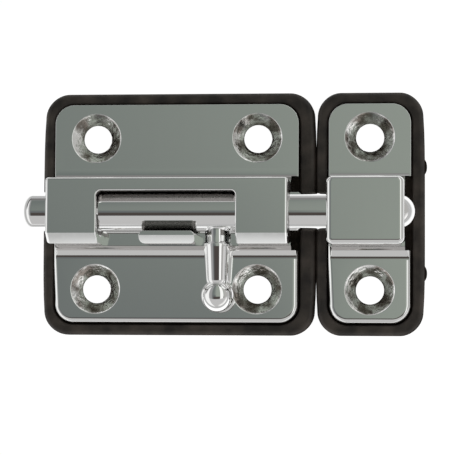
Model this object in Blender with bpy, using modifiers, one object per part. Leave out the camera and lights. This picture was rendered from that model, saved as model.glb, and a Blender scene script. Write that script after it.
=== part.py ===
"""Surface-mounted toggle bolt latch with its keeper, each half on a rubber gasket.

Frame, in metres: +X runs along the bolt towards the keeper, +Y across it and +Z out of the
mounting surface. The origin lies on the mounting surface under the middle of the latch half.
The bolt is shown locked, with its lever lying in the right-hand notch and pointing to -Y.
"""

from math import acos, cos, pi, radians, sin

import bmesh
import bpy
from mathutils import Matrix

MM = 0.001
GAP = 0.3 * MM
INSET = 0.1 * MM

# Stack heights above the mounting surface.
GASKET_FLOOR = 1.2 * MM
RIM_TOP = 3.4 * MM
PLATE_BACK = GASKET_FLOOR + GAP
PLATE_TOP = 4.2 * MM
SILL_TOP = 5.8 * MM
BOLT_AXIS_Z = 9.2 * MM
GATE_TOP = 13.8 * MM
HOUSING_TOP = 14.3 * MM
BLOCK_FOOT = PLATE_TOP - 0.5 * MM

# Both plates.
PLATE_HALF_WIDTH = 20.7 * MM
PLATE_CORNER = 3.6 * MM
PLATE_EDGE = 0.5 * MM
WAIST_HALF_WIDTH = 7.0 * MM
SCREW_HOLE_RADIUS = 2.65 * MM
COUNTERSINK_RADIUS = 4.7 * MM
COUNTERSINK_RISE = 1.0 * MM

# Plate and housing spans along X.
LATCH_PLATE = (-23.5 * MM, 22.9 * MM)
LATCH_HOUSING = (-23.6 * MM, 21.6 * MM)
TRACK = (-14.0 * MM, 11.85 * MM)
GATE = (-6.1 * MM, 4.25 * MM)
KEEPER_PLATE = (28.6 * MM, 44.0 * MM)
KEEPER_HOUSING = (28.55 * MM, 42.9 * MM)
LATCH_HOLES = [(x * MM, y * MM) for x in (-15.6, 15.1) for y in (-14.3, 14.3)]
KEEPER_HOLES = [(36.3 * MM, y * MM) for y in (-14.4, 14.4)]

# Housing cross-section.
LATCH_HALF_WIDTH = 6.1 * MM
KEEPER_HALF_WIDTH = 6.3 * MM
COVE_RADIUS = 2.5 * MM
CHAMFER_WIDTH = 1.85 * MM
CHAMFER_DROP = 2.42 * MM
RAIL_INNER_Y = 3.6 * MM
GATE_INNER_Y = -3.8 * MM
TRACK_CORNER = 0.8 * MM
GATE_END_RADIUS = 0.9 * MM
LATCH_EDGE = 0.45 * MM
KEEPER_CORNER = 1.1 * MM
KEEPER_EDGE = 0.8 * MM

# Gaskets.
LATCH_GASKET = (-25.9 * MM, 26.0 * MM)
KEEPER_GASKET = (26.25 * MM, 46.6 * MM)
GASKET_HALF_WIDTH = 22.95 * MM
GASKET_CORNER = 4.2 * MM
RIM_ROUND = 0.7 * MM
GASKET_HOLE_RADIUS = 3.3 * MM
NIB_SIZE = (0.4 * MM, 2.8 * MM, 1.4 * MM)
NIB_YS = (8.9 * MM, -11.2 * MM)

# Bolt and the friction rings that grip it inside the two blocks.
BOLT_RADIUS = 3.7 * MM
BORE_RADIUS = 3.9 * MM
BOLT_ENDS = (-28.7 * MM, 44.8 * MM)
REAR_DOME = 2.3 * MM
FRONT_DOME = 4.2 * MM
RING_XS = {"friction_ring_rear": -18.5 * MM, "friction_ring_front": 16.9 * MM}
RING_INNER = 3.8 * MM
RING_SECTION = 0.36 * MM
GROOVE_RADIUS = 4.6 * MM
GROOVE_WIDTH = 0.9 * MM

# Lever, along its own axis from the bolt's axis outwards. It droops so that the ball lies low.
LEVER_X = 7.95 * MM
LEVER_DROOP = radians(6)
TAPPED_HOLE_RADIUS = 1.7 * MM
TAPPED_HOLE_START = 1.0 * MM
SHANK_RADIUS = 1.45 * MM
SHANK_START = 1.3 * MM
NECK_START = BOLT_RADIUS + 0.2 * MM
NECK_RADIUS = 2.0 * MM
NECK_END = 5.6 * MM
STEM_RADIUS = 2.45 * MM
STEM_WAIST_RADIUS = 2.05 * MM
STEM_END = 13.2 * MM
SHOULDER_ROUND = 0.15 * MM
STUB_RADIUS = 1.2 * MM
STUB_END = 15.3 * MM
BALL_CENTRE = 15.7 * MM
BALL_SEAT_GAP = 0.2 * MM
BALL_RADIUS = 3.1 * MM
BALL_HOLE_RADIUS = 1.45 * MM
BALL_HOLE_END = 15.6 * MM

BORE_STEPS = 40
TURNED_STEPS = 32
RING_SECTION_STEPS = 6
DOME_STEPS = 7
BALL_STEPS = 12
CORNER_STEPS = 5
TIGHT_CORNER_STEPS = 3
RIM_SEGMENTS = 3
ROUNDED_ANGLE = 60
SHARP_ANGLE = 35
CUT_MARGIN = 5 * MM


def clear_scene():
    for obj in list(bpy.data.objects):
        bpy.data.objects.remove(obj, do_unlink=True)


def new_collection(name):
    collection = bpy.data.collections.new(name)
    bpy.context.scene.collection.children.link(collection)
    return collection


def material(name, colour, roughness, metallic):
    made = bpy.data.materials.new(name)
    made.use_nodes = True
    shader = made.node_tree.nodes["Principled BSDF"]
    shader.inputs["Base Color"].default_value = (*colour, 1.0)
    shader.inputs["Roughness"].default_value = roughness
    shader.inputs["Metallic"].default_value = metallic
    return made


def arc(centre, radius, start, end, steps=CORNER_STEPS):
    """Points on an arc, with the angles in degrees."""
    angles = [radians(start + (end - start) * i / steps) for i in range(steps + 1)]
    return [(centre[0] + radius * cos(a), centre[1] + radius * sin(a)) for a in angles]


def rounded_rectangle(x_span, y_span, radius, steps=CORNER_STEPS):
    x0, x1 = x_span[0] + radius, x_span[1] - radius
    y0, y1 = y_span[0] + radius, y_span[1] - radius
    corners = [(x1, y1, 0), (x0, y1, 90), (x0, y0, 180), (x1, y0, 270)]
    points = []
    for x, y, start in corners:
        points += arc((x, y), radius, start, start + 90, steps)
    return points


def add_mesh(name, build, collection):
    """A mesh object from what build(bm) makes."""
    bm = bmesh.new()
    build(bm)
    bmesh.ops.recalc_face_normals(bm, faces=bm.faces)
    mesh = bpy.data.meshes.new(name)
    bm.to_mesh(mesh)
    bm.free()
    obj = bpy.data.objects.new(name, mesh)
    collection.objects.link(obj)
    return obj


def flat_solid(name, outline, low, high, collection, along="Z"):
    """A flat outline extruded from low to high, along Z, or along X with the outline in (Y, Z)."""
    curve = bpy.data.curves.new(name, "CURVE")
    curve.dimensions = "2D"
    curve.fill_mode = "BOTH"
    curve.extrude = (high - low) / 2
    spline = curve.splines.new("POLY")
    spline.points.add(len(outline) - 1)
    for point, (u, v) in zip(spline.points, outline, strict=True):
        point.co = (u, v, 0.0, 1.0)
    spline.use_cyclic_u = True
    guide = bpy.data.objects.new(name + "_outline", curve)
    collection.objects.link(guide)
    graph = bpy.context.evaluated_depsgraph_get()
    mesh = bpy.data.meshes.new_from_object(guide.evaluated_get(graph))
    bpy.data.objects.remove(guide, do_unlink=True)
    turn = Matrix(((0, 0, 1), (1, 0, 0), (0, 1, 0))).to_4x4() if along == "X" else Matrix()
    middle = (low + high) / 2
    mesh.transform(turn @ Matrix.Translation((0, 0, middle)))

    def build(bm):
        bm.from_mesh(mesh)
        bmesh.ops.remove_doubles(bm, verts=bm.verts, dist=1e-7)

    return add_mesh(name, build, collection)


def cylinder(name, radius_low, radius_high, low, high, collection, place=None):
    """A closed cone or cylinder along its own Z, from low to high, then placed by a matrix."""

    def build(bm):
        middle = Matrix.Translation((0, 0, (low + high) / 2))
        bmesh.ops.create_cone(
            bm, cap_ends=True, segments=BORE_STEPS, radius1=radius_low,
            radius2=radius_high, depth=high - low, matrix=(place or Matrix()) @ middle)

    return add_mesh(name, build, collection)


def box(name, x_span, y_span, z_span, collection):
    def build(bm):
        sides = [span[1] - span[0] for span in (x_span, y_span, z_span)]
        centre = [(span[1] + span[0]) / 2 for span in (x_span, y_span, z_span)]
        matrix = Matrix.Translation(centre) @ Matrix.Diagonal((*sides, 1.0))
        bmesh.ops.create_cube(bm, size=1.0, matrix=matrix)

    return add_mesh(name, build, collection)


def turned(name, profile, collection, place):
    """A (radius, height) profile, listed top to bottom, turned about its own Z axis."""
    mesh = bpy.data.meshes.new(name)
    points = [(r, 0.0, z) for r, z in profile]
    mesh.from_pydata(points, [(i, i + 1) for i in range(len(points) - 1)], [])
    obj = bpy.data.objects.new(name, mesh)
    obj.matrix_world = place
    collection.objects.link(obj)
    screw = obj.modifiers.new("turn", "SCREW")
    screw.steps = TURNED_STEPS
    screw.render_steps = TURNED_STEPS
    screw.use_merge_vertices = True
    screw.merge_threshold = 1e-5
    return obj


def boolean(obj, other, operation):
    modifier = obj.modifiers.new(other.name, "BOOLEAN")
    modifier.operation = operation
    modifier.object = other
    modifier.solver = "EXACT"
    other.hide_render = True
    other.display_type = "WIRE"


def cut(obj, cutters):
    for cutter in cutters:
        boolean(obj, cutter, "DIFFERENCE")


def join(obj, others):
    for other in others:
        boolean(obj, other, "UNION")


def bevel(obj, width, segments=2):
    """Rounds the edges that turn by more than the rounded angle."""
    modifier = obj.modifiers.new("rounded_edges", "BEVEL")
    modifier.width = width
    modifier.segments = segments
    modifier.limit_method = "ANGLE"
    modifier.angle_limit = radians(ROUNDED_ANGLE)
    modifier.use_clamp_overlap = True


def finish(obj, finish_material):
    obj.data.materials.append(finish_material)
    if obj.data.polygons:
        obj.data.shade_smooth()
        obj.data.set_sharp_from_angle(angle=radians(SHARP_ANGLE))


def along_bolt(x=0.0):
    """Turns a Z-axis shape onto the bolt's axis, with its own +Z towards the keeper."""
    return Matrix.Translation((x, 0, BOLT_AXIS_Z)) @ Matrix.Rotation(pi / 2, 4, "Y")


def along_lever():
    """Turns a Z-axis shape onto the lever's axis, with its own +Z towards the ball."""
    turn = Matrix.Rotation(pi / 2 + LEVER_DROOP, 4, "X")
    return Matrix.Translation((LEVER_X, 0, BOLT_AXIS_Z)) @ turn


def block_outline():
    """The latch housing above its coves, as (Y, Z) points, with the chamfer on its -Y side."""
    side = LATCH_HALF_WIDTH
    return [
        (-side, BLOCK_FOOT),
        (side, BLOCK_FOOT),
        (side, HOUSING_TOP),
        (-side + CHAMFER_WIDTH, HOUSING_TOP),
        (-side, HOUSING_TOP - CHAMFER_DROP),
    ]


def cove_foot(name, x_span, side, cutters):
    """The low bar under a housing, with a cove along each side where it meets the plate.

    Its top edges lie just inside the housing's walls, so that the two solids cross cleanly.
    """
    side -= INSET
    cove_y, cove_z = side + COVE_RADIUS, PLATE_TOP + COVE_RADIUS
    outline = [(-cove_y, BLOCK_FOOT), (cove_y, BLOCK_FOOT)]
    outline += arc((cove_y, cove_z), COVE_RADIUS, 270, 180)
    outline += arc((-cove_y, cove_z), COVE_RADIUS, 0, -90)
    return flat_solid(name, outline, *x_span, cutters, along="X")


def waist_boxes(name, x_span, waist, cutters):
    """What is cut from the middle of a plate's two ends, back to the housing."""
    y_span = (-WAIST_HALF_WIDTH, WAIST_HALF_WIDTH)
    z_span = (PLATE_BACK - CUT_MARGIN, PLATE_TOP + CUT_MARGIN)
    sides = [(x_span[0] - CUT_MARGIN, waist[0]), (waist[1], x_span[1] + CUT_MARGIN)]
    return [box(f"{name}_waist_{i}", side, y_span, z_span, cutters)
            for i, side in enumerate(sides)]


def screw_cutters(name, holes, cutters):
    """A clearance hole and its 90-degree countersink for each flat-head screw."""
    made = []
    low, high = PLATE_BACK - CUT_MARGIN, PLATE_TOP + CUT_MARGIN
    for i, (x, y) in enumerate(holes):
        place = Matrix.Translation((x, y, 0))
        made.append(cylinder(f"{name}_hole_{i}", SCREW_HOLE_RADIUS, SCREW_HOLE_RADIUS,
                             low, high, cutters, place))
        depth = COUNTERSINK_RADIUS - SCREW_HOLE_RADIUS
        made.append(cylinder(f"{name}_countersink_{i}", SCREW_HOLE_RADIUS,
                             COUNTERSINK_RADIUS + COUNTERSINK_RISE, PLATE_TOP - depth,
                             PLATE_TOP + COUNTERSINK_RISE, cutters, place))
    return made


def plate(name, x_span, waist, side, parts, cutters):
    """The mounting plate with its coved foot, both cut back to the housing's ends at the waist."""
    y_span = (-PLATE_HALF_WIDTH, PLATE_HALF_WIDTH)
    outline = rounded_rectangle(x_span, y_span, PLATE_CORNER)
    made = flat_solid(name, outline, PLATE_BACK, PLATE_TOP, parts)
    notches = waist_boxes(name, x_span, waist, cutters)
    cut(made, notches)
    bevel(made, PLATE_EDGE)
    foot_span = (x_span[0] + PLATE_EDGE, x_span[1] - PLATE_EDGE)
    foot = cove_foot(f"{name}_foot", foot_span, side, cutters)
    cut(foot, notches)
    join(made, [foot])
    return made


def latch_gate(cutters):
    """The tall bar between the two lever notches, with rounded ends and the housing's chamfer."""
    gate = flat_solid("gate", block_outline(), *GATE, cutters, along="X")
    y_span = (-LATCH_HALF_WIDTH, GATE_INNER_Y)
    shape = flat_solid("gate_shape", rounded_rectangle(GATE, y_span, GATE_END_RADIUS),
                       PLATE_TOP, GATE_TOP, cutters)
    boolean(gate, shape, "INTERSECT")
    return gate


def latch_body(parts, cutters, chrome):
    """One casting: plate, two bored blocks, the rail between them and the gate."""
    body = plate("latch_body", LATCH_PLATE, LATCH_HOUSING, LATCH_HALF_WIDTH, parts, cutters)
    housing = flat_solid("latch_housing", block_outline(), *LATCH_HOUSING, cutters, along="X")
    bevel(housing, LATCH_EDGE)
    track_outline = rounded_rectangle(TRACK, (-PLATE_HALF_WIDTH, RAIL_INNER_Y), TRACK_CORNER,
                                      TIGHT_CORNER_STEPS)
    track = flat_solid("track", track_outline, SILL_TOP, HOUSING_TOP + CUT_MARGIN, cutters)
    low, high = LATCH_HOUSING[0] - CUT_MARGIN, LATCH_HOUSING[1] + CUT_MARGIN
    bore = cylinder("latch_bore", BORE_RADIUS, BORE_RADIUS, low, high, cutters, along_bolt())
    grooves = [cylinder(f"{name}_groove", GROOVE_RADIUS, GROOVE_RADIUS, -GROOVE_WIDTH / 2,
                        GROOVE_WIDTH / 2, cutters, along_bolt(x))
               for name, x in RING_XS.items()]
    join(body, [housing])
    cut(body, [track])
    join(body, [latch_gate(cutters)])
    cut(body, [bore, *grooves, *screw_cutters("latch", LATCH_HOLES, cutters)])
    finish(body, chrome)


def keeper_body(parts, cutters, chrome):
    """The bored block that receives the bolt, cast with its own plate."""
    body = plate("keeper_body", KEEPER_PLATE, KEEPER_HOUSING, KEEPER_HALF_WIDTH, parts, cutters)
    y_span = (-KEEPER_HALF_WIDTH, KEEPER_HALF_WIDTH)
    outline = rounded_rectangle(KEEPER_HOUSING, y_span, KEEPER_CORNER, TIGHT_CORNER_STEPS)
    block = flat_solid("keeper_block", outline, BLOCK_FOOT, HOUSING_TOP, cutters)
    bevel(block, KEEPER_EDGE)
    low, high = KEEPER_HOUSING[0] - CUT_MARGIN, KEEPER_HOUSING[1] + CUT_MARGIN
    bore = cylinder("keeper_bore", BORE_RADIUS, BORE_RADIUS, low, high, cutters, along_bolt())
    join(body, [block])
    cut(body, [bore, *screw_cutters("keeper", KEEPER_HOLES, cutters)])
    finish(body, chrome)


def gasket(name, x_span, plate_span, holes, nibs, parts, cutters, rubber):
    """A rubber tray: a floor under the plate and a rounded rim around it."""
    y_span = (-GASKET_HALF_WIDTH, GASKET_HALF_WIDTH)
    body = flat_solid(name, rounded_rectangle(x_span, y_span, GASKET_CORNER), 0, RIM_TOP, parts)
    pocket_y = PLATE_HALF_WIDTH + GAP
    pocket = flat_solid(
        f"{name}_pocket",
        rounded_rectangle((plate_span[0] - GAP, plate_span[1] + GAP), (-pocket_y, pocket_y),
                          PLATE_CORNER + GAP),
        GASKET_FLOOR, RIM_TOP + CUT_MARGIN, cutters)
    cut(body, [pocket])
    bevel(body, RIM_ROUND, RIM_SEGMENTS)
    cut(body, [cylinder(f"{name}_hole_{i}", GASKET_HOLE_RADIUS, GASKET_HOLE_RADIUS,
                        -CUT_MARGIN, CUT_MARGIN, cutters, Matrix.Translation((x, y, 0)))
               for i, (x, y) in enumerate(holes)])
    for i, y in enumerate(nibs):
        reach, length, height = NIB_SIZE
        nib = box(f"{name}_nib_{i}", (x_span[1] - reach, x_span[1] + reach),
                  (y - length / 2, y + length / 2), (RIM_ROUND, RIM_ROUND + height), cutters)
        join(body, [nib])
    finish(body, rubber)


def bolt_rod(parts, cutters, chrome):
    """A round rod with domed ends and a tapped cross hole for the lever."""
    rear, front = BOLT_ENDS
    angles = [pi / 2 * i / DOME_STEPS for i in range(DOME_STEPS + 1)]
    profile = [(BOLT_RADIUS * sin(a), front - FRONT_DOME * (1 - cos(a))) for a in angles]
    profile += [(BOLT_RADIUS * sin(a), rear + REAR_DOME * (1 - cos(a)))
                for a in reversed(angles)]
    rod = turned("bolt_rod", profile, parts, along_bolt())
    hole = cylinder("lever_hole", TAPPED_HOLE_RADIUS, TAPPED_HOLE_RADIUS, -TAPPED_HOLE_START,
                    BOLT_RADIUS + CUT_MARGIN, cutters, along_lever())
    cut(rod, [hole])
    finish(rod, chrome)


def lever_stem(parts, chrome):
    """The lever's turned stem, with a shank for the bolt and a stub for the ball."""
    profile = [
        (0, STUB_END),
        (STUB_RADIUS, STUB_END),
        (STUB_RADIUS, STEM_END),
        (STEM_WAIST_RADIUS, STEM_END),
        (STEM_RADIUS, NECK_END + 3 * SHOULDER_ROUND),
        (STEM_RADIUS - SHOULDER_ROUND, NECK_END + SHOULDER_ROUND),
        (NECK_RADIUS, NECK_END),
        (NECK_RADIUS, NECK_START),
        (SHANK_RADIUS, NECK_START),
        (SHANK_RADIUS, SHANK_START),
        (0, SHANK_START),
    ]
    stem = turned("lever_stem", profile, parts, along_lever())
    finish(stem, chrome)


def ball_knob(parts, chrome):
    """The ball on the lever's end, drilled for the stem's stub."""
    seat = STEM_END + BALL_SEAT_GAP
    sweep = acos((seat - BALL_CENTRE) / BALL_RADIUS)
    angles = [sweep * i / BALL_STEPS for i in range(BALL_STEPS + 1)]
    profile = [(BALL_RADIUS * sin(a), BALL_CENTRE + BALL_RADIUS * cos(a)) for a in angles]
    profile += [(BALL_HOLE_RADIUS, seat), (BALL_HOLE_RADIUS, BALL_HOLE_END), (0, BALL_HOLE_END)]
    knob = turned("ball_knob", profile, parts, along_lever())
    finish(knob, chrome)


def friction_ring(name, x, parts, rubber):
    """A small rubber ring that sits in a groove of the bore and grips the bolt."""
    bpy.ops.mesh.primitive_torus_add(
        major_radius=RING_INNER + RING_SECTION,
        minor_radius=RING_SECTION,
        major_segments=TURNED_STEPS,
        minor_segments=RING_SECTION_STEPS,
    )
    ring = bpy.context.active_object
    ring.name = name
    ring.matrix_world = along_bolt(x)
    for owner in list(ring.users_collection):
        owner.objects.unlink(ring)
    parts.objects.link(ring)
    finish(ring, rubber)


def main():
    clear_scene()
    parts = new_collection("toggle_bolt_latch")
    cutters = new_collection("cutters")
    body_chrome = material("body_chrome", (0.80, 0.81, 0.80), 0.12, 1.0)
    bolt_chrome = material("bolt_chrome", (0.86, 0.86, 0.86), 0.06, 1.0)
    gasket_rubber = material("gasket_rubber", (0.045, 0.040, 0.037), 0.65, 0.0)
    ring_rubber = material("ring_rubber", (0.02, 0.02, 0.02), 0.55, 0.0)
    gasket("latch_gasket", LATCH_GASKET, LATCH_PLATE, LATCH_HOLES, (), parts, cutters,
           gasket_rubber)
    gasket("keeper_gasket", KEEPER_GASKET, KEEPER_PLATE, KEEPER_HOLES, NIB_YS, parts, cutters,
           gasket_rubber)
    latch_body(parts, cutters, body_chrome)
    keeper_body(parts, cutters, body_chrome)
    bolt_rod(parts, cutters, bolt_chrome)
    lever_stem(parts, bolt_chrome)
    ball_knob(parts, bolt_chrome)
    for name, x in RING_XS.items():
        friction_ring(name, x, parts, ring_rubber)


main()
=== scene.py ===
"""Looks of the toggle bolt latch: chrome-plated castings and bolt on black rubber gaskets.

All sizes are in metres in the frame's axes: +X along the bolt, +Y across it, +Z up. "South" is
the lever's side (-Y), "north" is +Y, "east" is the keeper's side (+X) and "west" is -X.
"""

from math import acos, cos, pi, radians, sin

import bmesh
import bpy
from mathutils import Matrix, Vector


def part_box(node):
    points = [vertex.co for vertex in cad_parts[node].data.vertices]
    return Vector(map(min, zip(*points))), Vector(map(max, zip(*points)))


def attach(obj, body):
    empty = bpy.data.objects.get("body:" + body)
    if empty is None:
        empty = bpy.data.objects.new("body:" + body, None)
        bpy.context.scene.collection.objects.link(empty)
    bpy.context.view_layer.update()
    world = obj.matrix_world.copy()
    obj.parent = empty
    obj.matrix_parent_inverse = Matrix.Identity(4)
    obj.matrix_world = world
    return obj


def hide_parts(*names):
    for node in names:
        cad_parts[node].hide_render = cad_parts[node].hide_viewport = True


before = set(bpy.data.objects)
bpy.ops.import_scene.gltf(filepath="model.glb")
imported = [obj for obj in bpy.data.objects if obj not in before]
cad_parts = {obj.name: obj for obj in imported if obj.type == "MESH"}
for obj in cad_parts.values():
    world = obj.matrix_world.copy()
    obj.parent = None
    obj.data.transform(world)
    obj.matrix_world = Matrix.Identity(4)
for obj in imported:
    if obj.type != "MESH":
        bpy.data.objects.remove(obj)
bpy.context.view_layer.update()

MM = 0.001

# Sizes read from the frame.
LATCH_LOW, LATCH_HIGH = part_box("latch_body")
ROD_LOW, ROD_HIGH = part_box("bolt_rod")
BALL_LOW, BALL_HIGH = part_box("ball_knob")
HOUSING_TOP = LATCH_HIGH[2]
PLATE_BACK = LATCH_LOW[2]
PLATE_HALF_WIDTH = LATCH_HIGH[1]
BOLT_RADIUS = (ROD_HIGH[1] - ROD_LOW[1]) / 2
BOLT_AXIS_Z = (ROD_HIGH[2] + ROD_LOW[2]) / 2
LEVER_X = (BALL_HIGH[0] + BALL_LOW[0]) / 2
LEVER_DROOP = radians(6)
BALL_RADIUS = (BALL_HIGH[0] - BALL_LOW[0]) / 2
BALL_CENTRE = (-BALL_LOW[1] - BALL_RADIUS) / cos(LEVER_DROOP)

# Heights on the castings.
PLATE_TOP = PLATE_BACK + 2.7 * MM
SILL_TOP = PLATE_TOP + 1.6 * MM
GATE_TOP = HOUSING_TOP - 0.5 * MM
GATE_ROOT = SILL_TOP - 0.4 * MM
BLOCK_FOOT = PLATE_TOP - 0.5 * MM
TRACK_CUT_TOP = HOUSING_TOP + 1.0 * MM

# Plates. The south halves are polished rounder than the north halves.
LATCH_PLATE = (-23.5 * MM, 22.9 * MM)
KEEPER_PLATE = (28.6 * MM, 44.0 * MM)
PLATE_CORNER = 3.6 * MM
SOUTH_EDGE = 1.05 * MM
NORTH_EDGE = 0.08 * MM
WAIST_HALF_WIDTH = 7.0 * MM
SCREW_HOLE_RADIUS = 2.65 * MM
COUNTERSINK_RADIUS = 4.6 * MM
COUNTERSINK_RIM = 0.1 * MM
TURNING_RINGS = 5
TURNING_RING_DEPTH = 0.022 * MM
LATCH_HOLES = [(x * MM, y * MM) for x in (-15.6, 15.1) for y in (-14.3, 14.3)]
KEEPER_HOLES = [(36.3 * MM, y * MM) for y in (-14.4, 14.4)]
# How far from the bolt's axis the countersinks lie, with a margin.
HOLE_ZONE = (9.0 * MM, 19.3 * MM)

# Coves between the plates and the housings.
COVE_RADIUS = 2.5 * MM
COVE_STEPS = 20
COVE_TUCK = 0.03 * MM
COVE_INSET = 0.3 * MM
COVE_END_EDGE = 0.35 * MM

# Housings.
LATCH_HOUSING = (-23.6 * MM, 21.6 * MM)
TRACK = (-14.0 * MM, 11.85 * MM)
GATE = (-6.1 * MM, 4.25 * MM)
KEEPER_HOUSING = (28.55 * MM, 42.9 * MM)
LATCH_HALF_WIDTH = 6.1 * MM
KEEPER_HALF_WIDTH = 6.3 * MM
CHAMFER_WIDTH = 1.85 * MM
CHAMFER_DROP = 2.42 * MM
RAIL_INNER_Y = 3.6 * MM
GATE_INNER_Y = -3.8 * MM
TRACK_CORNER = 0.8 * MM
GATE_END_RADIUS = 0.9 * MM
GATE_INSET = 0.02 * MM
OUTER_EDGE = 0.65 * MM
INNER_EDGE = 0.3 * MM
CRISP_EDGE = 0.12 * MM
KEEPER_CORNER = 1.2 * MM
KEEPER_EDGE = 1.0 * MM
BORE_RADIUS = 3.9 * MM
BORE_RIM = 0.3 * MM
MOUTH_FLARE = 0.85 * MM
GROOVE_XS = (-18.5 * MM, 16.9 * MM)
GROOVE_RADIUS = 4.6 * MM
GROOVE_WIDTH = 0.9 * MM

# Bolt and lever.
REAR_DOME = 2.3 * MM
FRONT_DOME = 4.2 * MM
NECK_RADIUS = 2.15 * MM
NECK_FILLET = (0.05 * MM, 0.15 * MM)
NECK_START = BOLT_RADIUS - 0.6 * MM
NECK_END = 5.6 * MM
STEM_RADIUS = 2.45 * MM
STEM_WAIST_RADIUS = 2.05 * MM
STEM_END = 13.2 * MM
STEM_END_EDGE = 0.05 * MM
STUB_RADIUS = STEM_WAIST_RADIUS - 0.3 * MM
STUB_END = STEM_END + 0.5 * MM
SHOULDER_ROUND = 0.28 * MM
SHOULDER_DROP = 0.1 * MM

# Gaskets. Their sides that face each other bulge until the two nearly touch.
CREST_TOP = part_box("latch_gasket")[1][2]
GASKET_CORNER = 4.2 * MM
GASKET_FLOOR = 1.2 * MM
GASKET_FOOT = 0.15 * MM
GASKET_GAP = 0.3 * MM
GASKET_BULGE = 0.11 * MM
GASKET_BOW = 0.8 * MM
GASKET_HOLE_RADIUS = 3.3 * MM
OUTER_CREST = 1.0 * MM
INNER_CREST = 0.5 * MM
INNER_CREST_DROP = 0.12 * MM
SMALLEST_CORNER = 0.2 * MM
NIB_YS = (8.9 * MM, -11.2 * MM)
NIB_REACH = 0.4 * MM
NIB_RADIUS = 0.8 * MM
NIB_STRETCH = 1.9
NIB_HEIGHTS = (0.9 * MM, 2.2 * MM)
NIB_CROWN = ((0.2 * MM, 0.1 * MM), (0.0, 0.3 * MM))

# How finely the meshes are made.
ROUND_STEPS = 128
CORNER_STEPS = 16
SIDE_PIECES = 12
DOME_STEPS = 24
BALL_STEPS = 64
TAPER_STEPS = 12
CREST_STEPS = 8
SHOULDER_ANGLES = (25, 50, 75)

# Margins: how far a cutter reaches past what it cuts, how close to a face an edge has to lie to
# count as on it, and the distance and angle below which points and faces are merged.
CUT_MARGIN = 3 * MM
THIN_CUT = 0.02 * MM
NEAR = 0.1 * MM
WELD_DISTANCE = 1e-6
FLAT_ANGLE = radians(0.3)

# Linear colours.
CASTING_TINT = (0.93, 0.935, 0.93)
BOLT_TINT = (0.94, 0.94, 0.94)
# Darker and lighter patches at random in the countersinks.
CONE_PATCH_DARK = (0.3, 0.27, 0.245)
CONE_PATCH_LIGHT = (1.0, 1.0, 0.99)
# Painted shade for the coves' inner halves and the recesses, a little lighter on the rail's side.
COVE_PAINTED_SHADE = (0.64, 0.62, 0.61)
TRACK_PAINTED_SHADE = (0.26, 0.25, 0.24)
RAIL_SIDE_PAINTED_SHADE = (0.44, 0.42, 0.41)
GASKET_DARK = (0.022, 0.018, 0.016)
GASKET_LIGHT = (0.078, 0.063, 0.053)
RING_DARK = (0.015, 0.015, 0.015)
RING_LIGHT = (0.03, 0.03, 0.03)
FLOOR_GREY = (0.35, 0.35, 0.35)
WHITE = (1.0, 1.0, 1.0)

# Studio. The lens and the sensor are in millimetres.
FLOOR_HALF_SIDE = 1.5
FLOOR_HEIGHTS = (-2 * MM, -0.05 * MM)
GLOW_CENTRE = (9 * MM, -2 * MM, 0.0)
GLOW_REACH = (48 * MM, 70 * MM)
GLOW_STRENGTH = (0.95, 0.3)
SENSOR_WIDTH = 36.0
LENS = 167.143
CAMERA_PLACE = (0.04836, -0.02746, 0.4)
CAMERA_TURN = Vector((0.0625, 0.0976, 0.0025))
CAMERA_CLIP = 0.01


# ---------------------------------------------------------------- mesh helpers


def arc(centre, radius, start, end, steps=CORNER_STEPS):
    """Points on an arc, with the angles in degrees."""
    angles = [radians(start + (end - start) * i / steps) for i in range(steps + 1)]
    return [(centre[0] + radius * cos(a), centre[1] + radius * sin(a)) for a in angles]


def quarter_turn(steps):
    """Evenly spaced angles from 0 to 90 degrees, in radians."""
    return [pi / 2 * i / steps for i in range(steps + 1)]


def rounded_rectangle(x_span, y_span, radius):
    x0, x1 = x_span[0] + radius, x_span[1] - radius
    y0, y1 = y_span[0] + radius, y_span[1] - radius
    points = []
    for x, y, start in ((x1, y1, 0), (x0, y1, 90), (x0, y0, 180), (x1, y0, 270)):
        points += arc((x, y), radius, start, start + 90)
    return points


def split_sides(points):
    """Adds evenly spaced points along the straight sides of a rounded rectangle."""
    per_corner = len(points) // 4
    split = []
    for i, (x, y) in enumerate(points):
        split.append((x, y))
        if i % per_corner == per_corner - 1:
            next_x, next_y = points[(i + 1) % len(points)]
            split += [(x + (next_x - x) * k / SIDE_PIECES, y + (next_y - y) * k / SIDE_PIECES)
                      for k in range(1, SIDE_PIECES)]
    return split


def new_object(name, build):
    """An object whose mesh is made by build(bm)."""
    bm = bmesh.new()
    build(bm)
    bmesh.ops.recalc_face_normals(bm, faces=bm.faces)
    mesh = bpy.data.meshes.new(name)
    bm.to_mesh(mesh)
    bm.free()
    obj = bpy.data.objects.new(name, mesh)
    bpy.context.scene.collection.objects.link(obj)
    return obj


def lofted(name, loops):
    """A closed solid through loops that have the same number of (x, y, z) points."""

    def build(bm):
        rings = [[bm.verts.new(point) for point in loop] for loop in loops]
        bm.faces.new(rings[0])
        bm.faces.new(rings[-1])
        for low, high in zip(rings, rings[1:], strict=False):
            for i in range(len(low)):
                j = (i + 1) % len(low)
                bm.faces.new((low[i], low[j], high[j], high[i]))

    return new_object(name, build)


def prism(name, outline, low, high, along="Z"):
    """An outline extruded from low to high along Z, or along X with the outline in (Y, Z)."""
    if along == "X":
        return lofted(name, [[(end, u, v) for u, v in outline] for end in (low, high)])
    return lofted(name, [[(u, v, end) for u, v in outline] for end in (low, high)])


def box(name, x_span, y_span, z_span):
    outline = [(x_span[0], y_span[0]), (x_span[1], y_span[0]),
               (x_span[1], y_span[1]), (x_span[0], y_span[1])]
    return prism(name, outline, *z_span)


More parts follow.
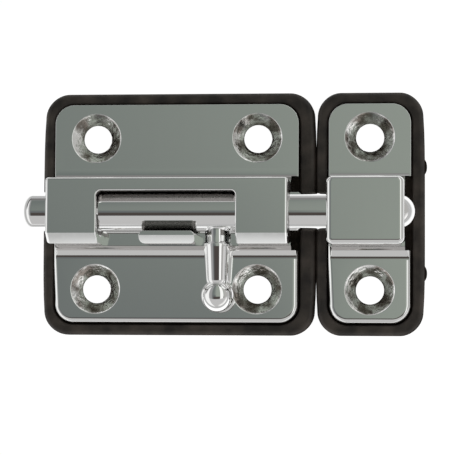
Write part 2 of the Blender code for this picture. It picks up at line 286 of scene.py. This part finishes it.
def turned(name, profile, place):
    """(radius, height) points turned about Z, then placed. Points on the axis close the ends."""
    angles = [2 * pi * i / ROUND_STEPS for i in range(ROUND_STEPS)]

    def build(bm):
        rings = []
        for radius, height in profile:
            if radius < WELD_DISTANCE:
                rings.append([bm.verts.new(place @ Vector((0, 0, height)))])
                continue
            rings.append([bm.verts.new(place @ Vector((radius * cos(a), radius * sin(a), height)))
                          for a in angles])
        for low, high in zip(rings, rings[1:], strict=False):
            for i in range(ROUND_STEPS):
                j = (i + 1) % ROUND_STEPS
                corners = [low[i % len(low)], low[j % len(low)],
                           high[j % len(high)], high[i % len(high)]]
                unique = list(dict.fromkeys(corners))
                if len(unique) > 2:
                    bm.faces.new(unique)

    return new_object(name, build)


def settle(obj):
    """Applies the modifiers to the mesh."""
    graph = bpy.context.evaluated_depsgraph_get()
    mesh = bpy.data.meshes.new_from_object(obj.evaluated_get(graph))
    obj.modifiers.clear()
    obj.data = mesh


def combine(obj, others, operation):
    """Boolean of obj with each of the others, which are then removed."""
    for other in others:
        modifier = obj.modifiers.new("combine", "BOOLEAN")
        modifier.operation = operation
        modifier.solver = "EXACT"
        modifier.object = other
        settle(obj)
        bpy.data.objects.remove(other, do_unlink=True)


def round_edges(obj, width, chosen, sharper_than=50, segments=5):
    """Rounds the edges sharper than an angle in degrees whose middles pass chosen(point)."""
    bm = bmesh.new()
    bm.from_mesh(obj.data)
    bmesh.ops.remove_doubles(bm, verts=bm.verts, dist=WELD_DISTANCE)
    bmesh.ops.dissolve_limit(bm, angle_limit=FLAT_ANGLE, verts=bm.verts, edges=bm.edges)
    edges = [e for e in bm.edges
             if len(e.link_faces) == 2 and e.calc_face_angle() > radians(sharper_than)
             and chosen((e.verts[0].co + e.verts[1].co) / 2)]
    bmesh.ops.bevel(bm, geom=edges, offset=width, offset_type="OFFSET", segments=segments,
                    profile=0.5, affect="EDGES", clamp_overlap=False, miter_outer="ARC")
    bm.to_mesh(obj.data)
    bm.free()


def smooth(obj, sharp_angle=28):
    """Smooth shading whose normals keep the flat faces flat."""
    obj.data.shade_smooth()
    obj.data.set_sharp_from_angle(angle=radians(sharp_angle))
    weighted = obj.modifiers.new("flat_faces", "WEIGHTED_NORMAL")
    weighted.mode = "FACE_AREA"
    weighted.weight = 100
    weighted.keep_sharp = True


def along_bolt():
    """Turns +Z to +X and moves it to the bolt's axis."""
    return Matrix.Translation((0, 0, BOLT_AXIS_Z)) @ Matrix.Rotation(pi / 2, 4, "Y")


def along_lever():
    """Turns +Z to the lever's direction and moves it to where the lever leaves the bolt's axis."""
    turn = Matrix.Rotation(pi / 2 + LEVER_DROOP, 4, "X")
    return Matrix.Translation((LEVER_X, 0, BOLT_AXIS_Z)) @ turn


# ---------------------------------------------------------------- castings


def block_outline():
    """The latch housing above its coves, as (Y, Z) points, with the chamfer on its south side."""
    side = LATCH_HALF_WIDTH
    return [(-side, BLOCK_FOOT), (side, BLOCK_FOOT), (side, HOUSING_TOP),
            (-side + CHAMFER_WIDTH, HOUSING_TOP), (-side, HOUSING_TOP - CHAMFER_DROP)]


def cove_foot(x_span, half_width):
    """The low bar under a housing, with a cove along each side where it meets the plate. Its
    south ends are rounded, except for the coves' thin toes and upright lips.
    """
    side = half_width - COVE_TUCK
    toe, lip = 0.05 * MM, 0.02 * MM
    cove_y, cove_z = side + COVE_RADIUS, PLATE_TOP + COVE_RADIUS
    outline = [(-cove_y, BLOCK_FOOT), (cove_y, BLOCK_FOOT)]
    outline += arc((cove_y, cove_z), COVE_RADIUS, 270, 180, COVE_STEPS)
    outline += arc((-cove_y, cove_z), COVE_RADIUS, 0, -90, COVE_STEPS)
    foot = prism("foot", outline, *x_span, along="X")
    round_edges(foot, COVE_END_EDGE, lambda p: p.z > PLATE_TOP + toe and p.y < -side - lip
                and not x_span[0] + NEAR < p.x < x_span[1] - NEAR)
    return foot


def waist_boxes(x_span, waist):
    """What is cut from the middle of a plate's two ends, back to the housing."""
    y_span = (-WAIST_HALF_WIDTH, WAIST_HALF_WIDTH)
    z_span = (PLATE_BACK - CUT_MARGIN, PLATE_TOP + COVE_RADIUS + CUT_MARGIN)
    sides = [(x_span[0] - CUT_MARGIN, waist[0]), (waist[1], x_span[1] + CUT_MARGIN)]
    return [box("waist", side, y_span, z_span) for side in sides]


def screw_hole_cutter(x, y):
    """A countersunk screw hole: a softened rim and a cone with faint turning rings."""
    rim = COUNTERSINK_RIM
    depth = COUNTERSINK_RADIUS - SCREW_HOLE_RADIUS
    profile = [(0, PLATE_TOP + CUT_MARGIN),
               (COUNTERSINK_RADIUS + 2 * rim, PLATE_TOP + CUT_MARGIN),
               (COUNTERSINK_RADIUS + 2 * rim, PLATE_TOP + 0.1 * rim),
               (COUNTERSINK_RADIUS + rim, PLATE_TOP - 0.3 * rim)]
    for i in range(2 * TURNING_RINGS + 1):
        inward = depth * i / (2 * TURNING_RINGS)
        proud = TURNING_RING_DEPTH * (i % 2)
        profile.append((COUNTERSINK_RADIUS - inward - proud, PLATE_TOP - rim - inward + proud))
    profile += [(SCREW_HOLE_RADIUS, PLATE_BACK - CUT_MARGIN), (0, PLATE_BACK - CUT_MARGIN)]
    return turned("screw_hole", profile, Matrix.Translation((x, y, 0)))


def mouth_cutter():
    """The flared mouth of the rear block's bore, where it opens into the track."""
    wide, start, end = BORE_RADIUS + MOUTH_FLARE, TRACK[0] - MOUTH_FLARE, TRACK[0] + THIN_CUT
    profile = [(0, start), (BORE_RADIUS, start), (wide, TRACK[0]), (wide, end), (0, end)]
    return turned("mouth", profile, along_bolt())


def bore_cutter(low, high, grooves):
    """A bore whose two mouths are softened, with a groove for each friction ring."""
    wide, soft = BORE_RADIUS + BORE_RIM, BORE_RIM / 3
    profile = [(0, low - CUT_MARGIN), (wide, low - CUT_MARGIN), (wide, low),
               (BORE_RADIUS + soft, low + soft), (BORE_RADIUS, low + BORE_RIM)]
    for x in grooves:
        near, far = x - GROOVE_WIDTH / 2, x + GROOVE_WIDTH / 2
        profile += [(BORE_RADIUS, near), (GROOVE_RADIUS, near), (GROOVE_RADIUS, far),
                    (BORE_RADIUS, far)]
    profile += [(BORE_RADIUS, high - BORE_RIM), (BORE_RADIUS + soft, high - soft), (wide, high),
                (wide, high + CUT_MARGIN), (0, high + CUT_MARGIN)]
    return turned("bore", profile, along_bolt())


def plate(name, x_span, waist, half_width, holes):
    """The drilled mounting plate with its coved foot, both cut back to the housing's ends."""
    y_span = (-PLATE_HALF_WIDTH, PLATE_HALF_WIDTH)
    made = prism(name, rounded_rectangle(x_span, y_span, PLATE_CORNER), PLATE_BACK, PLATE_TOP)
    combine(made, waist_boxes(x_span, waist), "DIFFERENCE")
    rim_z = PLATE_TOP - NEAR
    round_edges(made, SOUTH_EDGE, lambda p: p.z > rim_z and p.y < -WAIST_HALF_WIDTH - NEAR)
    round_edges(made, NORTH_EDGE, lambda p: p.z > rim_z and p.y > WAIST_HALF_WIDTH + NEAR)
    combine(made, [screw_hole_cutter(*hole) for hole in holes], "DIFFERENCE")
    foot = cove_foot((x_span[0] + COVE_INSET, x_span[1] - COVE_INSET), half_width)
    combine(foot, waist_boxes(x_span, waist), "DIFFERENCE")
    combine(made, [foot], "UNION")
    return made


def latch_gate():
    """The tall bar between the two lever notches, with rounded ends and the housing's chamfer."""
    gate = prism("gate", block_outline(), *GATE, along="X")
    y_span = (GATE_INSET - LATCH_HALF_WIDTH, GATE_INNER_Y)
    outline = rounded_rectangle(GATE, y_span, GATE_END_RADIUS)
    shape = prism("gate_shape", outline, GATE_ROOT, GATE_TOP)
    round_edges(shape, CRISP_EDGE, lambda p: p.z > GATE_TOP - NEAR)
    combine(gate, [shape], "INTERSECT")
    return gate


def track_cutter():
    """What is cut for the lever's track and for both of its notches, down to the sill."""
    outline = rounded_rectangle(TRACK, (-PLATE_HALF_WIDTH, RAIL_INNER_Y), TRACK_CORNER)
    return prism("track", outline, SILL_TOP, TRACK_CUT_TOP)


def latch_casting():
    body = plate("latch_casting", LATCH_PLATE, LATCH_HOUSING, LATCH_HALF_WIDTH, LATCH_HOLES)
    housing = prism("housing", block_outline(), *LATCH_HOUSING, along="X")
    round_edges(housing, OUTER_EDGE, lambda p: p.z > PLATE_TOP, sharper_than=60, segments=8)
    combine(housing, [track_cutter()], "DIFFERENCE")
    rounded_end = 1.2 * OUTER_EDGE
    inner_low, inner_high = LATCH_HOUSING[0] + rounded_end, LATCH_HOUSING[1] - rounded_end
    round_edges(housing, INNER_EDGE, lambda p: p.z > SILL_TOP + NEAR
                and inner_low < p.x < inner_high and p.y < RAIL_INNER_Y + NEAR,
                sharper_than=60, segments=4)
    combine(body, [track_cutter()], "DIFFERENCE")
    combine(body, [housing, latch_gate()], "UNION")
    combine(body, [bore_cutter(*LATCH_HOUSING, GROOVE_XS), mouth_cutter()], "DIFFERENCE")
    smooth(body)
    return body


def keeper_casting():
    body = plate("keeper_casting", KEEPER_PLATE, KEEPER_HOUSING, KEEPER_HALF_WIDTH, KEEPER_HOLES)
    y_span = (-KEEPER_HALF_WIDTH, KEEPER_HALF_WIDTH)
    outline = rounded_rectangle(KEEPER_HOUSING, y_span, KEEPER_CORNER)
    block = prism("block", outline, BLOCK_FOOT, HOUSING_TOP)
    round_edges(block, KEEPER_EDGE, lambda p: p.z > HOUSING_TOP - NEAR, segments=8)
    combine(body, [block], "UNION")
    combine(body, [bore_cutter(*KEEPER_HOUSING, ())], "DIFFERENCE")
    smooth(body)
    return body


# ---------------------------------------------------------------- turned parts


def bolt():
    """The bolt between its long front dome and its short rear dome."""
    rear, front = ROD_LOW[0], ROD_HIGH[0]
    angles = quarter_turn(DOME_STEPS)
    profile = [(BOLT_RADIUS * sin(a), front - FRONT_DOME * (1 - cos(a))) for a in angles]
    profile += [(BOLT_RADIUS * sin(a), rear + REAR_DOME * (1 - cos(a)))
                for a in reversed(angles)]
    made = turned("bolt", profile, along_bolt())
    smooth(made)
    return made


def stem():
    """The lever's stem: a narrow neck at the bolt, a shoulder, then a taper towards the ball."""
    taper_low = NECK_END + SHOULDER_ROUND
    profile = [(0, STUB_END), (STUB_RADIUS, STUB_END), (STUB_RADIUS, STEM_END + STEM_END_EDGE),
               (STEM_WAIST_RADIUS - STEM_END_EDGE, STEM_END)]
    for i in range(TAPER_STEPS + 1):
        t = i / TAPER_STEPS
        radius = STEM_WAIST_RADIUS + (STEM_RADIUS - STEM_WAIST_RADIUS) * t
        profile.append((radius, STEM_END - STEM_END_EDGE + (taper_low - STEM_END) * t))
    profile += [(STEM_RADIUS - SHOULDER_ROUND * (1 - cos(radians(a))),
                 taper_low - SHOULDER_ROUND * sin(radians(a))) for a in SHOULDER_ANGLES]
    fillet_width, fillet_height = NECK_FILLET
    profile += [(NECK_RADIUS + fillet_width, NECK_END - SHOULDER_DROP),
                (NECK_RADIUS, NECK_END - SHOULDER_DROP - fillet_height),
                (NECK_RADIUS, NECK_START), (0, NECK_START)]
    made = turned("stem", profile, along_lever())
    smooth(made, sharp_angle=60)
    return made


def ball():
    """The ball, cut flat where the stem's end meets it."""
    flat = STEM_END + STEM_END_EDGE
    sweep = acos((flat - BALL_CENTRE) / BALL_RADIUS)
    angles = [sweep * i / BALL_STEPS for i in range(BALL_STEPS + 1)]
    profile = [(BALL_RADIUS * sin(a), BALL_CENTRE + BALL_RADIUS * cos(a)) for a in angles]
    profile += [(0, profile[-1][1])]
    made = turned("ball", profile, along_lever())
    smooth(made)
    return made


# ---------------------------------------------------------------- gaskets


def tray_outline(x_span, y_span, corner, inset):
    """A rounded rectangle drawn in by inset, with points along its sides."""
    x_inset = (x_span[0] + inset, x_span[1] - inset)
    y_inset = (y_span[0] + inset, y_span[1] - inset)
    return split_sides(rounded_rectangle(x_inset, y_inset, max(corner - inset, SMALLEST_CORNER)))


def tray(name, x_span, y_span, top, plate_span):
    """A tray's rim and floor. The rim has a round crest, and its east and west sides bow out."""
    middle, half = (x_span[0] + x_span[1]) / 2, (x_span[1] - x_span[0]) / 2
    inner = ((plate_span[0] - GASKET_GAP, plate_span[1] + GASKET_GAP),
             (-PLATE_HALF_WIDTH - GASKET_GAP, PLATE_HALF_WIDTH + GASKET_GAP),
             PLATE_CORNER + GASKET_GAP)

    def outside(inset, z):
        points = tray_outline(x_span, y_span, GASKET_CORNER, inset)
        return [(x - GASKET_BOW * (x - middle) / half * abs(y / y_span[1]) ** 5, y, z)
                for x, y in points]

    def inside(inset, z):
        return [(x, y, z) for x, y in tray_outline(*inner, inset)]

    loops = [outside(GASKET_FOOT, 0.0), outside(0.0, GASKET_FOOT)]
    loops += [outside(OUTER_CREST * (1 - cos(a)), top - OUTER_CREST + OUTER_CREST * sin(a))
              for a in quarter_turn(CREST_STEPS)]
    inner_top = top - INNER_CREST_DROP
    loops += [inside(-INNER_CREST * (1 - sin(a)), inner_top - INNER_CREST + INNER_CREST * cos(a))
              for a in quarter_turn(CREST_STEPS)]
    loops.append(inside(0.0, GASKET_FLOOR))
    return lofted(name, loops)


def nib(x, y):
    """A flat moulding nib with a slightly crowned top, on a gasket's side at x."""
    low, high = NIB_HEIGHTS
    crown = [(NIB_RADIUS - inset, high - drop) for inset, drop in NIB_CROWN]
    profile = [(0, high), *crown, (NIB_RADIUS, low), (0, low)]
    place = Matrix.Translation((x + NIB_REACH - NIB_RADIUS, y, 0))
    return turned("nib", profile, place @ Matrix.Diagonal((1.0, NIB_STRETCH, 1.0, 1.0)))


def gasket(name, node, plate_span, holes, nib_ys):
    """A moulded tray under a casting, with clearance holes and any nibs on its east side."""
    low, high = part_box(node)
    x_span = (low[0], high[0] + GASKET_BULGE)
    if nib_ys:
        x_span = (low[0] - GASKET_BULGE, high[0] - NIB_REACH)
    made = tray(name, x_span, (low[1], high[1]), high[2], plate_span)
    hole = [(0, CUT_MARGIN), (GASKET_HOLE_RADIUS, CUT_MARGIN), (GASKET_HOLE_RADIUS, -CUT_MARGIN),
            (0, -CUT_MARGIN)]
    cutters = [turned("hole", hole, Matrix.Translation((x, y, 0))) for x, y in holes]
    combine(made, cutters, "DIFFERENCE")
    combine(made, [nib(x_span[1], y) for y in nib_ys], "UNION")
    smooth(made)
    return made


# ---------------------------------------------------------------- shading helpers


class Shading:
    """A node tree with short calls for the nodes that the materials and the sky are made of.

    What goes into a node is another node's output, a number, a vector or a linear colour.
    """

    def __init__(self, tree):
        self.nodes = tree.nodes
        self.links = tree.links

    def feed(self, socket, value):
        if isinstance(value, bpy.types.NodeSocket):
            self.links.new(value, socket)
        elif socket.type == "RGBA":
            socket.default_value = (*value, 1.0)
        else:
            socket.default_value = value

    def coordinates(self, kind="Object"):
        return self.nodes.new("ShaderNodeTexCoord").outputs[kind]

    def axes(self, vector):
        node = self.nodes.new("ShaderNodeSeparateXYZ")
        self.feed(node.inputs["Vector"], vector)
        return [node.outputs[axis] for axis in "XYZ"]

    def math(self, operation, *values):
        node = self.nodes.new("ShaderNodeMath")
        node.operation = operation
        for socket, value in zip(node.inputs, values, strict=False):
            self.feed(socket, value)
        return node.outputs[0]

    def vector_math(self, operation, result, *values):
        node = self.nodes.new("ShaderNodeVectorMath")
        node.operation = operation
        for socket, value in zip(node.inputs, values, strict=False):
            self.feed(socket, value)
        return node.outputs[result]

    def both(self, first, second):
        return self.math("MULTIPLY", first, second)

    def band(self, value, span):
        """1 where the value lies within the span, and 0 elsewhere."""
        above = self.math("GREATER_THAN", value, span[0])
        below = self.math("LESS_THAN", value, span[1])
        return self.both(above, below)

    def map_range(self, value, span, results, interpolation="LINEAR"):
        node = self.nodes.new("ShaderNodeMapRange")
        node.interpolation_type = interpolation
        names = ("Value", "From Min", "From Max", "To Min", "To Max")
        for socket_name, number in zip(names, (value, *span, *results), strict=True):
            self.feed(node.inputs[socket_name], number)
        return node.outputs["Result"]

    def mix(self, factor, under, over, kind="RGBA"):
        """under where the factor is 0 and over where it is 1, as colours or as numbers."""
        first_input, output = {"FLOAT": (2, 0), "RGBA": (6, 2)}[kind]
        node = self.nodes.new("ShaderNodeMix")
        node.data_type = kind
        self.feed(node.inputs["Factor"], factor)
        self.feed(node.inputs[first_input], under)
        self.feed(node.inputs[first_input + 1], over)
        return node.outputs[output]

    def noise(self, scale, detail, stretch=(1.0, 1.0, 1.0)):
        mapping = self.nodes.new("ShaderNodeMapping")
        self.feed(mapping.inputs["Vector"], self.coordinates())
        self.feed(mapping.inputs["Scale"], stretch)
        texture = self.nodes.new("ShaderNodeTexNoise")
        self.feed(texture.inputs["Vector"], mapping.outputs["Vector"])
        self.feed(texture.inputs["Scale"], scale)
        self.feed(texture.inputs["Detail"], detail)
        return texture.outputs["Fac"]

    def ramp(self, factor, positions, colours):
        node = self.nodes.new("ShaderNodeValToRGB")
        for i in range(2):
            node.color_ramp.elements[i].position = positions[i]
            node.color_ramp.elements[i].color = (*colours[i], 1.0)
        self.feed(node.inputs["Fac"], factor)
        return node.outputs["Color"]

    def bump(self, height, strength, distance):
        node = self.nodes.new("ShaderNodeBump")
        self.feed(node.inputs["Height"], height)
        self.feed(node.inputs["Strength"], strength)
        self.feed(node.inputs["Distance"], distance)
        return node


def new_material(name):
    """A material, its node tree and the sockets of its shader."""
    made = bpy.data.materials.new(name)
    made.use_nodes = True
    return made, Shading(made.node_tree), made.node_tree.nodes["Principled BSDF"].inputs


# ---------------------------------------------------------------- materials


def casting_masks(tree):
    """Masks of the housing's recesses (track, bores, gate's inner face), of the rail's side of
    them, of the countersinks and of the coves' inner halves. The recesses and the coves' inner
    halves carry painted shade.
    """
    recess_y = (GATE_INNER_Y - 0.5 * MM, LATCH_HALF_WIDTH - 0.4 * MM)
    recess_z = (SILL_TOP + 0.05 * MM, GATE_TOP - 0.2 * MM)
    cone_foot = PLATE_TOP - COUNTERSINK_RADIUS + SCREW_HOLE_RADIUS
    cone_z = (cone_foot - 0.15 * MM, PLATE_TOP - 0.06 * MM)
    cove_y = (LATCH_HALF_WIDTH + 0.02 * MM, WAIST_HALF_WIDTH)
    cove_z = (PLATE_TOP + 0.1 * MM, PLATE_TOP + COVE_RADIUS)
    plate_end = SOUTH_EDGE + 0.5 * MM
    x, y, z = tree.axes(tree.coordinates())
    across = tree.math("ABSOLUTE", y)
    recess = tree.both(tree.band(y, recess_y), tree.band(z, recess_z))
    rail = tree.math("GREATER_THAN", y, 0.0)
    inboard = tree.math("ADD", *[tree.band(x, (span[0] + plate_end, span[1] - plate_end))
                                 for span in (LATCH_PLATE, KEEPER_PLATE)])
    cone = tree.both(tree.both(tree.band(across, HOLE_ZONE), tree.band(z, cone_z)), inboard)
    cove = tree.both(tree.band(across, cove_y), tree.band(z, cove_z))
    return recess, rail, cone, cove


def chrome(name, tint, roughness, ripple):
    """Polished plate: a faint ripple from the casting below and fine wipe marks."""
    made, tree, shader = new_material(name)
    tree.feed(shader["Base Color"], tint)
    tree.feed(shader["Metallic"], 1.0)
    marks = tree.noise(scale=900.0, detail=6.0, stretch=(1.0, 0.12, 1.0))
    marked = tree.map_range(marks, (0.35, 0.75), (roughness * 0.6, roughness * 1.8))
    tree.feed(shader["Roughness"], marked)
    wave = tree.bump(tree.noise(scale=110.0, detail=1.0), strength=ripple, distance=0.02 * MM)
    tree.feed(shader["Normal"], wave.outputs["Normal"])
    return made


def cast_chrome(name, tint, roughness, ripple):
    """Plated casting: polished outside and rougher in the recesses. Painted shade darkens the
    recesses and the coves' inner halves. The countersinks are streaked, with darker and lighter
    patches at random.
    """
    made = chrome(name, tint, roughness, ripple)
    tree = Shading(made.node_tree)
    shader = made.node_tree.nodes["Principled BSDF"].inputs
    recess, rail, cone, cove = casting_masks(tree)

    # Darker and lighter patches at random in the countersinks.
    cone_patches = tree.ramp(tree.noise(scale=330.0, detail=3.0), (0.4, 0.56), (CONE_PATCH_DARK, CONE_PATCH_LIGHT))
    # Painted shade: the coves' inner halves are darkened here, and the recesses on the next line.
    outside = tree.mix(cove, tree.mix(cone, tint, cone_patches), COVE_PAINTED_SHADE)
    inside = tree.mix(rail, TRACK_PAINTED_SHADE, RAIL_SIDE_PAINTED_SHADE)
    tree.feed(shader["Base Color"], tree.mix(recess, outside, inside))

    smoothness = shader["Roughness"].links[0].from_socket
    cast = tree.map_range(tree.noise(scale=1500.0, detail=4.0), (0.3, 0.7), (0.22, 0.42))
    drilled = tree.mix(cone, smoothness, 0.14, kind="FLOAT")
    tree.feed(shader["Roughness"], tree.mix(recess, drilled, cast, kind="FLOAT"))

    streaks = tree.bump(tree.noise(scale=1300.0, detail=2.0), strength=cone, distance=0.07 * MM)
    tree.feed(streaks.inputs["Normal"], shader["Normal"].links[0].from_socket)
    tree.feed(shader["Normal"], streaks.outputs["Normal"])
    return made


def rubber(name, dark, light, roughness):
    """Moulded rubber: mottled and finely grained, with a faint sheen on its crest only."""
    made, tree, shader = new_material(name)
    mottle = tree.noise(scale=260.0, detail=5.0)
    tree.feed(shader["Base Color"], tree.ramp(mottle, (0.35, 0.72), (dark, light)))
    grain = tree.noise(scale=3200.0, detail=3.0)
    grained = tree.map_range(grain, (0.3, 0.7), (roughness - 0.08, roughness + 0.1))
    tree.feed(shader["Roughness"], grained)
    height = tree.axes(tree.coordinates())[2]
    crest = (CREST_TOP - 0.6 * MM, CREST_TOP - 0.2 * MM)
    tree.feed(shader["Specular IOR Level"], tree.map_range(height, crest, (0.0, 0.4)))
    pores = tree.bump(grain, strength=0.35, distance=0.03 * MM)
    tree.feed(shader["Normal"], pores.outputs["Normal"])
    return made


# ---------------------------------------------------------------- studio


def studio_world():
    """A grey ceiling with bright panels lower down, so that edges read as bright lines, over a
    plain horizon that continues the floor.
    """
    world = bpy.data.worlds.new("studio")
    bpy.context.scene.world = world
    world.use_nodes = True
    tree = Shading(world.node_tree)
    direction = tree.coordinates("Generated")
    x, y, z = tree.axes(direction)

    def lean(axis, sign):
        """The direction's lean from straight up towards one side, in radians."""
        return tree.math("ARCTAN2", tree.math("MULTIPLY", axis, sign), z)

    def past(leaning, start, end):
        """Rises from 0 to 1 between two leans in degrees."""
        span = (radians(start), radians(end))
        return tree.map_range(leaning, span, (0.0, 1.0), "SMOOTHSTEP")

    def low_wall(towards_x, towards_y):
        """1 near the horizon towards a direction, and 0 elsewhere."""
        towards = Vector((towards_x, towards_y, 0.0)).normalized()
        facing = tree.vector_math("DOT_PRODUCT", "Value", direction, towards)
        return tree.both(tree.map_range(facing, (0.75, 0.9), (0.0, 1.0)),
                         tree.map_range(z, (0.2, 0.4), (1.0, 0.0)))

    south, north = lean(y, -1.0), lean(y, 1.0)
    east, west = lean(x, 1.0), lean(x, -1.0)
    seam = tree.both(tree.both(past(south, 6, 13), past(north, -28, -25)), past(east, -30, -12))
    lamp = tree.both(past(east, 27, 31), past(west, -54, -49))
    dim_corner = tree.both(past(south, -7, 3), past(west, 1, 6))
    horizon = tree.map_range(z, (0.07, 0.12), (1.0, 0.0))

    # The west ceiling, and what is laid over it, each row over the rows before.
    sky = (0.16, 0.18, 0.17)
    for mask, colour in (
            (past(east, -18, 8), (0.315, 0.345, 0.305)),    # east ceiling
            (dim_corner, (0.138, 0.15, 0.15)),              # south-west ceiling
            (past(west, 22, 36), (0.33, 0.33, 0.33)),       # west wall
            (seam, (0.07, 0.06, 0.055)),                    # dark seam
            (past(north, 66, 72), (0.23, 0.225, 0.22)),     # north wall
            (past(east, 53, 60), (0.45, 0.445, 0.43)),      # east wall
            (lamp, (1.0, 1.0, 0.98)),                       # lamp in the east
            (past(south, 26, 29), (0.53, 0.525, 0.52)),     # south wall
            (past(west, 48, 55), (0.95, 0.95, 0.94)),       # bright low west
            (low_wall(1.0, -1.0), (1.0, 0.99, 0.97)),       # bright south-east corner
            (low_wall(-1.0, 1.0), (0.045, 0.04, 0.037)),    # dark north-west corner
            (horizon, (0.46, 0.46, 0.46))):
        sky = tree.mix(mask, sky, colour)
    background = world.node_tree.nodes["Background"].inputs
    tree.feed(background["Color"], sky)
    tree.feed(background["Strength"], 1.0)


def studio_floor():
    """A white sweep whose own emission paints a pool of light around the object, falling to
    pale grey further out.
    """
    side = (-FLOOR_HALF_SIDE, FLOOR_HALF_SIDE)
    floor = box("floor", side, side, FLOOR_HEIGHTS)
    made, tree, shader = new_material("floor_white")
    tree.feed(shader["Base Color"], FLOOR_GREY)
    tree.feed(shader["Roughness"], 0.9)
    tree.feed(shader["Emission Color"], WHITE)
    # The length of the squared offset grows as the square of a rounded square's size.
    offset = tree.vector_math("SUBTRACT", "Vector", tree.coordinates(), GLOW_CENTRE)
    squared = tree.vector_math("MULTIPLY", "Vector", offset, offset)
    rounded_square = tree.vector_math("LENGTH", "Value", squared)
    reach = (GLOW_REACH[0] ** 2, GLOW_REACH[1] ** 2)
    # Painted light: the floor's emission is strongest around the object and weaker further out.
    tree.feed(shader["Emission Strength"], tree.map_range(rounded_square, reach, GLOW_STRENGTH))
    floor.data.materials.append(made)


def studio_camera():
    """A camera that looks almost straight down, turned from there about the axis CAMERA_TURN by
    its length in radians.
    """
    data = bpy.data.cameras.new("camera")
    data.sensor_width = SENSOR_WIDTH
    data.lens = LENS
    data.clip_start = CAMERA_CLIP
    camera = bpy.data.objects.new("camera", data)
    bpy.context.scene.collection.objects.link(camera)
    camera.location = CAMERA_PLACE
    turn = Matrix.Rotation(CAMERA_TURN.length, 3, CAMERA_TURN)
    camera.rotation_mode = "QUATERNION"
    camera.rotation_quaternion = turn.to_quaternion()
    bpy.context.scene.camera = camera


# ---------------------------------------------------------------- the model


def dress(obj, body, node, surface):
    """Gives a piece its material, and says what it rides on, replaces and is finished as."""
    obj.data.materials.clear()
    obj.data.materials.append(surface)
    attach(obj, body)
    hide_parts(node)


studio_camera()
plated = cast_chrome("plated_casting", CASTING_TINT, roughness=0.05, ripple=0.12)
polished = chrome("polished_bolt", BOLT_TINT, roughness=0.035, ripple=0.05)
gasket_rubber = rubber("gasket_rubber", GASKET_DARK, GASKET_LIGHT, roughness=0.5)
ring_rubber = rubber("ring_rubber", RING_DARK, RING_LIGHT, roughness=0.5)

dress(latch_casting(), "latch", "latch_body", plated)
dress(keeper_casting(), "keeper", "keeper_body", plated)
dress(bolt(), "bolt", "bolt_rod", polished)
dress(stem(), "bolt", "lever_stem", polished)
dress(ball(), "bolt", "ball_knob", polished)
latch_tray = gasket("latch_tray", "latch_gasket", LATCH_PLATE, LATCH_HOLES, ())
dress(latch_tray, "latch", "latch_gasket", gasket_rubber)
keeper_tray = gasket("keeper_tray", "keeper_gasket", KEEPER_PLATE, KEEPER_HOLES, NIB_YS)
dress(keeper_tray, "keeper", "keeper_gasket", gasket_rubber)
for ring_node in ("friction_ring_rear", "friction_ring_front"):
    for material_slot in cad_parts[ring_node].material_slots:
        material_slot.material = ring_rubber

studio_world()
studio_floor()
bpy.context.scene.view_settings.view_transform = "Standard"
